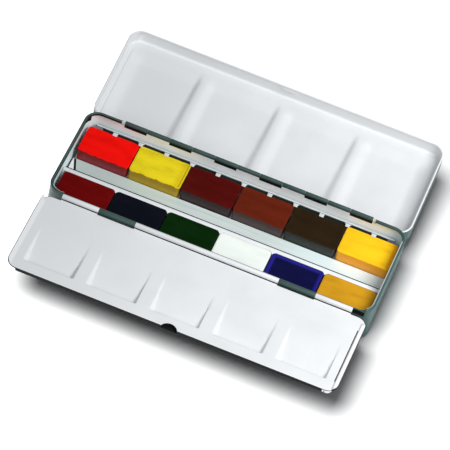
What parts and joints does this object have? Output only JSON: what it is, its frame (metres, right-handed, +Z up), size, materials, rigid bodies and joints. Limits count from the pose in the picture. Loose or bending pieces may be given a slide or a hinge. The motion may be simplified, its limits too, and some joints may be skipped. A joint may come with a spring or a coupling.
{
  "type": "watercolor pan set",
  "caption": "Hinged metal watercolour box, open, with mixing lid, fold-out palette flap, lift-out holder and rows of full paint pans.",
  "frame": {"origin": "centre of the open box's bounding box in plan, on the face it stands on", "axes": "+X along the box to the right, +Y towards the lid hinge, +Z up"},
  "size_m": [0.187, 0.189, 0.0288],
  "materials": {
    "box_enamel": "gloss lacquer outside, white enamel inside",
    "wire": "plain",
    "holder_paint": "satin white",
    "bare_tin": "pale satin tin",
    "pan_plastic": "translucent white, slightly glossy",
    "paint_bright_red": "glossy poured watercolour",
    "paint_lemon_yellow": "glossy poured watercolour",
    "paint_crimson": "glossy poured watercolour",
    "paint_rust": "glossy poured watercolour",
    "paint_dark_brown": "glossy poured watercolour",
    "paint_golden_yellow": "glossy poured watercolour",
    "paint_dark_red": "glossy poured watercolour",
    "paint_blue_black": "glossy poured watercolour",
    "paint_dark_green": "glossy poured watercolour",
    "paint_white": "glossy poured watercolour",
    "paint_ultramarine": "glossy poured watercolour",
    "paint_ochre": "glossy poured watercolour"
  },
  "bodies": {
    "box_base": {"base_tray": "box_enamel", "rear_hinge_wire": "wire", "front_hinge_wire": "wire"},
    "lid": {"lid_shell": "box_enamel"},
    "flap": {"palette_flap": "box_enamel"},
    "pan_holder": {"holder_tray": "holder_paint", "channel_floor": "bare_tin", "back_rail": "holder_paint", "front_rail": "holder_paint", "middle_rail": "holder_paint"},
    "pan_body_bright_red": {"pan_bright_red": "pan_plastic", "cake_bright_red": "paint_bright_red"},
    "pan_body_lemon_yellow": {"pan_lemon_yellow": "pan_plastic", "cake_lemon_yellow": "paint_lemon_yellow"},
    "pan_body_crimson": {"pan_crimson": "pan_plastic", "cake_crimson": "paint_crimson"},
    "pan_body_rust": {"pan_rust": "pan_plastic", "cake_rust": "paint_rust"},
    "pan_body_dark_brown": {"pan_dark_brown": "pan_plastic", "cake_dark_brown": "paint_dark_brown"},
    "pan_body_golden_yellow": {"pan_golden_yellow": "pan_plastic", "cake_golden_yellow": "paint_golden_yellow"},
    "pan_body_dark_red": {"pan_dark_red": "pan_plastic", "cake_dark_red": "paint_dark_red"},
    "pan_body_blue_black": {"pan_blue_black": "pan_plastic", "cake_blue_black": "paint_blue_black"},
    "pan_body_dark_green": {"pan_dark_green": "pan_plastic", "cake_dark_green": "paint_dark_green"},
    "pan_body_white": {"pan_white": "pan_plastic", "cake_white": "paint_white"},
    "pan_body_ultramarine": {"pan_ultramarine": "pan_plastic", "cake_ultramarine": "paint_ultramarine"},
    "pan_body_ochre": {"pan_ochre": "pan_plastic", "cake_ochre": "paint_ochre"}
  },
  "joints": [
    {"name": "lid_hinge", "type": "hinge", "parent": "box_base", "child": "lid", "pos_m": [0, 0.02883, 0.02365], "axis": [1, 0, 0], "range_deg": [0, 172.5]},
    {"name": "flap_hinge", "type": "hinge", "parent": "box_base", "child": "flap", "pos_m": [0, -0.03767, 0.02523], "axis": [-1, 0, 0], "range_deg": [0, 180]},
    {"name": "holder_lift", "type": "slide", "parent": "box_base", "child": "pan_holder", "axis": [0, 0, -1], "range_m": [-0.03, 0]},
    {"name": "lift_bright_red", "type": "slide", "parent": "pan_holder", "child": "pan_body_bright_red", "axis": [0, 0, -1], "range_m": [-0.02, 0]},
    {"name": "lift_lemon_yellow", "type": "slide", "parent": "pan_holder", "child": "pan_body_lemon_yellow", "axis": [0, 0, -1], "range_m": [-0.02, 0]},
    {"name": "lift_crimson", "type": "slide", "parent": "pan_holder", "child": "pan_body_crimson", "axis": [0, 0, -1], "range_m": [-0.02, 0]},
    {"name": "lift_rust", "type": "slide", "parent": "pan_holder", "child": "pan_body_rust", "axis": [0, 0, -1], "range_m": [-0.02, 0]},
    {"name": "lift_dark_brown", "type": "slide", "parent": "pan_holder", "child": "pan_body_dark_brown", "axis": [0, 0, -1], "range_m": [-0.02, 0]},
    {"name": "lift_golden_yellow", "type": "slide", "parent": "pan_holder", "child": "pan_body_golden_yellow", "axis": [0, 0, -1], "range_m": [-0.02, 0]},
    {"name": "lift_dark_red", "type": "slide", "parent": "pan_holder", "child": "pan_body_dark_red", "axis": [0, 0, -1], "range_m": [-0.02, 0]},
    {"name": "lift_blue_black", "type": "slide", "parent": "pan_holder", "child": "pan_body_blue_black", "axis": [0, 0, -1], "range_m": [-0.02, 0]},
    {"name": "lift_dark_green", "type": "slide", "parent": "pan_holder", "child": "pan_body_dark_green", "axis": [0, 0, -1], "range_m": [-0.02, 0]},
    {"name": "lift_white", "type": "slide", "parent": "pan_holder", "child": "pan_body_white", "axis": [0, 0, -1], "range_m": [-0.02, 0]},
    {"name": "lift_ultramarine", "type": "slide", "parent": "pan_holder", "child": "pan_body_ultramarine", "axis": [0, 0, -1], "range_m": [-0.02, 0]},
    {"name": "lift_ochre", "type": "slide", "parent": "pan_holder", "child": "pan_body_ochre", "axis": [0, 0, -1], "range_m": [-0.02, 0]}
  ]
}
